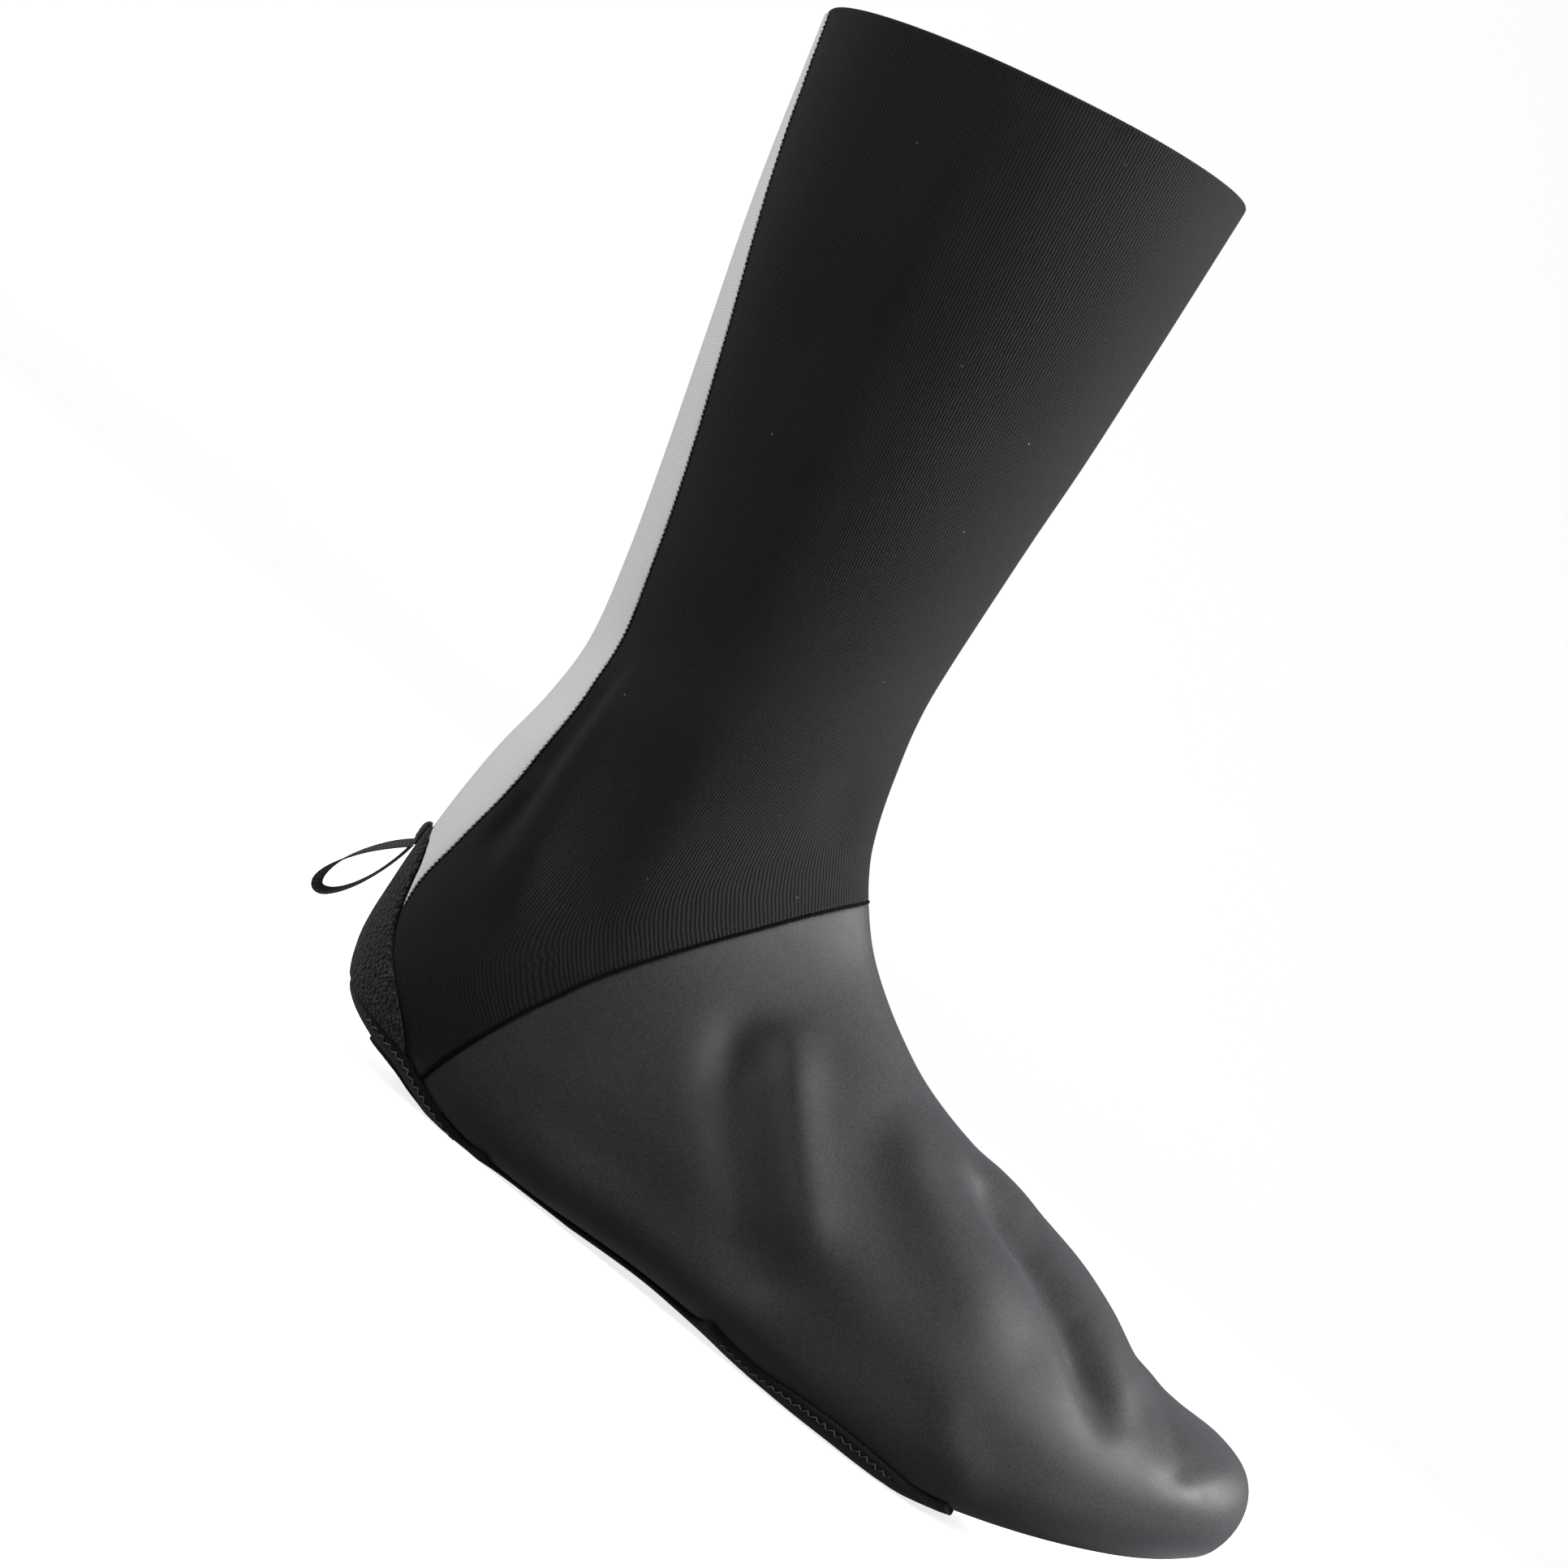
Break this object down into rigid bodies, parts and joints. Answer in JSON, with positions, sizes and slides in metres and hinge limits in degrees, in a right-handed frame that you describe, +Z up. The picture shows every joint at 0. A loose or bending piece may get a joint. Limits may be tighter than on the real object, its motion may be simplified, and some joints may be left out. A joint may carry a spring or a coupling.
{
  "type": "overshoe",
  "caption": "Tall stretch overshoe for a cycling shoe: knitted shaft, coated foot panel, thin sole panel open for cleat and heel, heel patch with pull loop and reflective back stripe.",
  "frame": {"origin": "on the floor, under the middle of the overshoe's bounding box as it stands on its sole", "axes": "+X towards the toe, +Y towards the inner side of the foot, +Z up"},
  "size_m": [0.3474, 0.1076, 0.333],
  "materials": {
    "coated_fabric": "stretch fabric with a satin polyurethane coat, dark grey",
    "knit_fabric": "brushed ribbed stretch knit, near black, with a faint sheen",
    "sole_knit": "smooth hard-wearing stretch fabric, black",
    "abrasion_fabric": "pebbled looped abrasion fabric, black",
    "reflective_print": "silver-grey reflective print on knit, dotted edge",
    "webbing": "narrow ribbed webbing tape, black"
  },
  "bodies": {
    "root": {"vamp": "coated_fabric", "shaft": "knit_fabric", "sole": "sole_knit", "heel_patch": "abrasion_fabric", "back_stripe": "reflective_print", "pull_loop": "webbing"}
  },
  "joints": []
}
